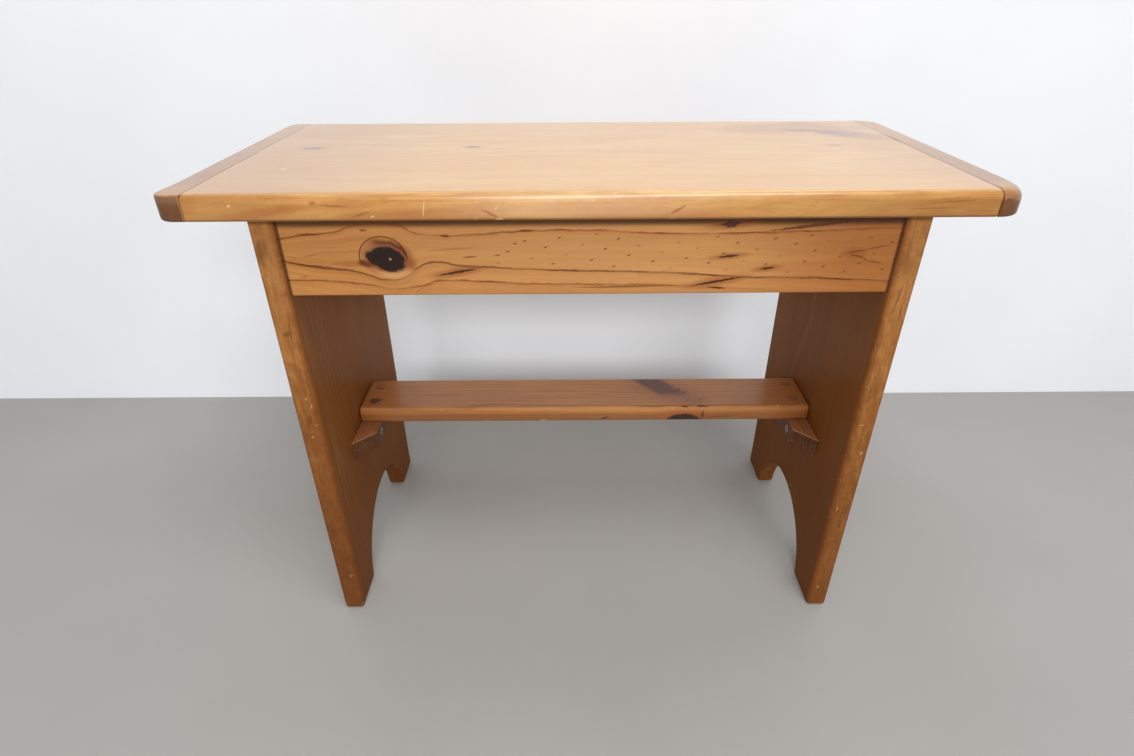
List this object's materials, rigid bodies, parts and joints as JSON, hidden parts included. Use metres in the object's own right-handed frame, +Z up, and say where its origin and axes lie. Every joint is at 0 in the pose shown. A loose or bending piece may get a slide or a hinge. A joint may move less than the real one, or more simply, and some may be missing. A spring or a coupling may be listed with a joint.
{
  "type": "bench",
  "caption": "Pine trestle bench: plank seat with breadboard ends, upright legs with arched feet, aprons under the seat and a low stretcher on mitred cleats.",
  "frame": {"origin": "on the floor under the middle of the seat", "axes": "+X along the seat to the viewer's right in the picture, +Y to the back, +Z up"},
  "size_m": [0.61, 0.277, 0.433],
  "materials": {
    "seat_pine": "honey satin lacquer",
    "cap_pine": "honey satin lacquer",
    "leg_pine": "amber satin lacquer",
    "apron_pine": "amber satin lacquer, knotty",
    "stretcher_pine": "reddish satin lacquer",
    "cleat_pine": "reddish satin lacquer",
    "batten_pine": "plain planed",
    "dowel_wood": "plain turned",
    "plug_wood": "satin lacquer",
    "screw_steel": "zinc plated"
  },
  "bodies": {
    "root": {"seat_board": "seat_pine", "left_end_cap": "cap_pine", "right_end_cap": "cap_pine", "left_leg": "leg_pine", "right_leg": "leg_pine", "front_apron": "apron_pine", "rear_apron": "apron_pine", "stretcher": "stretcher_pine", "left_stretcher_cleat": "cleat_pine", "right_stretcher_cleat": "cleat_pine", "left_seat_batten": "batten_pine", "right_seat_batten": "batten_pine", "apron_dowels": "dowel_wood", "stretcher_plugs": "plug_wood", "stretcher_screws": "screw_steel", "cleat_screws": "screw_steel", "batten_leg_screws": "screw_steel", "batten_seat_screws": "screw_steel"}
  },
  "joints": []
}
